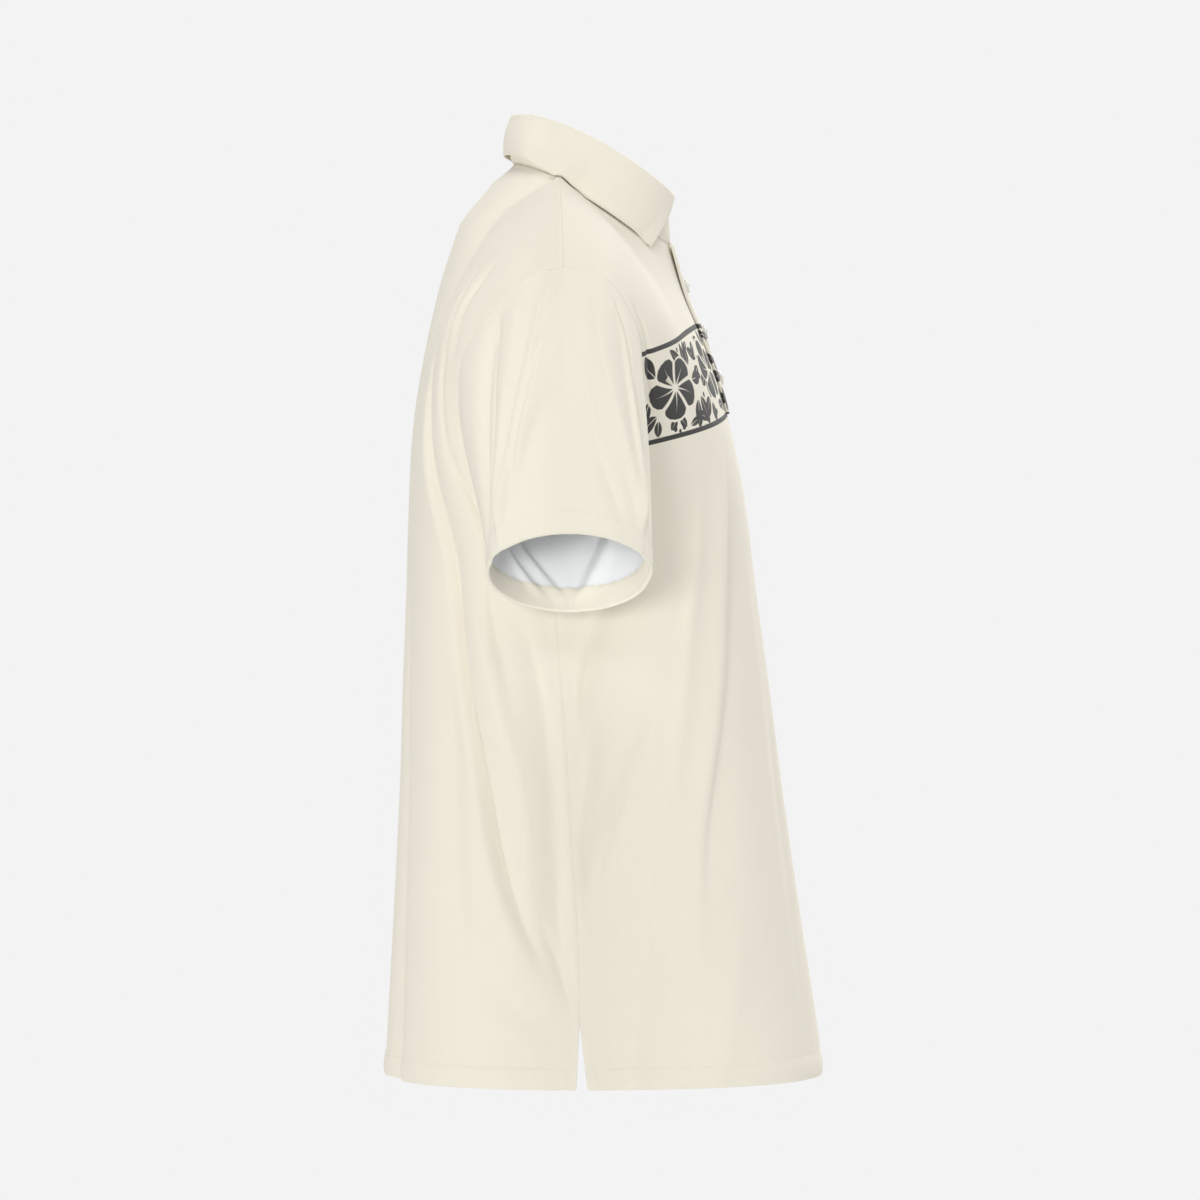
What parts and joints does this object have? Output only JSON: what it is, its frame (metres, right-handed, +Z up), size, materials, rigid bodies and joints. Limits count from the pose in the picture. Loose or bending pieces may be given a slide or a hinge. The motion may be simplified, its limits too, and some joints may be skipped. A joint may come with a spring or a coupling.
{
  "type": "polo shirt",
  "caption": "Short-sleeved cream polo shirt in its worn shape, hollow, with folded collar, buttoned placket, side vents and a dark flower band across the chest.",
  "frame": {"origin": "middle of the neck at the height of the highest points of the shoulders", "axes": "+Z up, -Y is the front of the shirt, +X is the wearer's left"},
  "size_m": [0.7572, 0.3646, 0.7946],
  "materials": {
    "cloth": "soft cream pique knit with fine vertical ribs, matt, a charcoal flower band printed on the chest outside only, white inside",
    "button": "cream moulded shirt button with a raised rim and four holes"
  },
  "bodies": {
    "root": {"front": "cloth", "back": "cloth", "sleeve_right": "cloth", "sleeve_left": "cloth", "collar_fall": "cloth", "collar_stand": "cloth", "placket_under": "cloth", "placket_upper": "cloth", "button_1": "button", "button_2": "button", "button_3": "button"}
  },
  "joints": []
}
